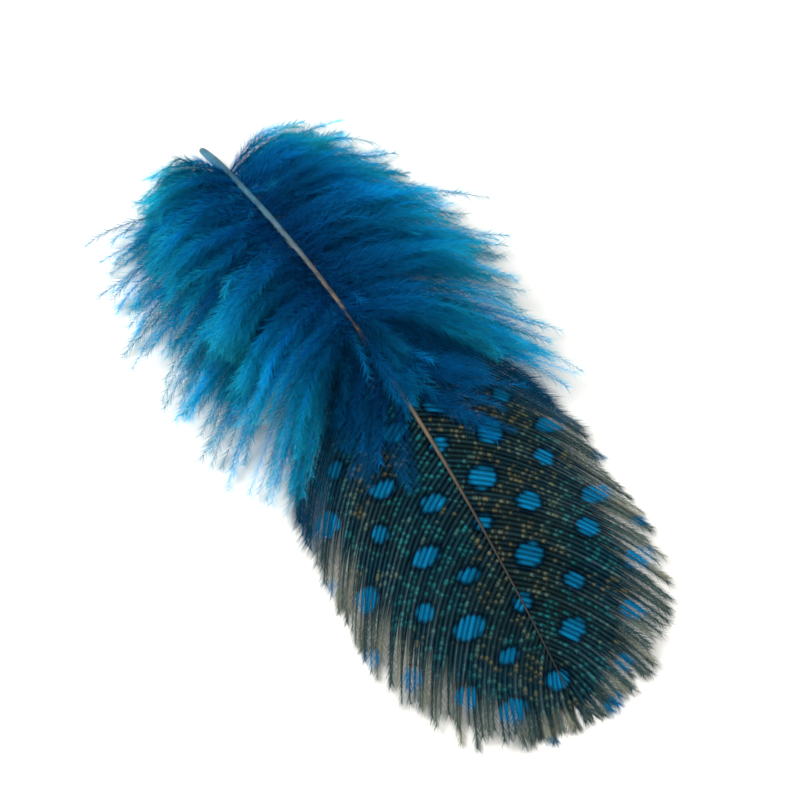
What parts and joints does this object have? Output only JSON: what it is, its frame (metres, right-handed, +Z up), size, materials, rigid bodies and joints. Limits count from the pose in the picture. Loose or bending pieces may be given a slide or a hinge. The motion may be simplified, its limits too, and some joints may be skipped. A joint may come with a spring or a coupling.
{
  "type": "guinea fowl feather",
  "caption": "Small dyed-blue guinea fowl body feather with a spotted round vane and a downy base, lying on its edges.",
  "frame": {"origin": "on the surface that the feather lies on, below the middle of its bounding box", "axes": "+Z is up, out of the vane's domed upper face; the cut end of the quill points along +Y and the rounded tip of the vane along -Y"},
  "size_m": [0.0392, 0.0796, 0.0101],
  "materials": {
    "feather": "soft barbs dyed blue: dark teal-brown vane with bright blue round spots and fine pale speckles, saturated blue down, tan-brown shaft"
  },
  "bodies": {
    "root": {"feather": "feather"}
  },
  "joints": []
}
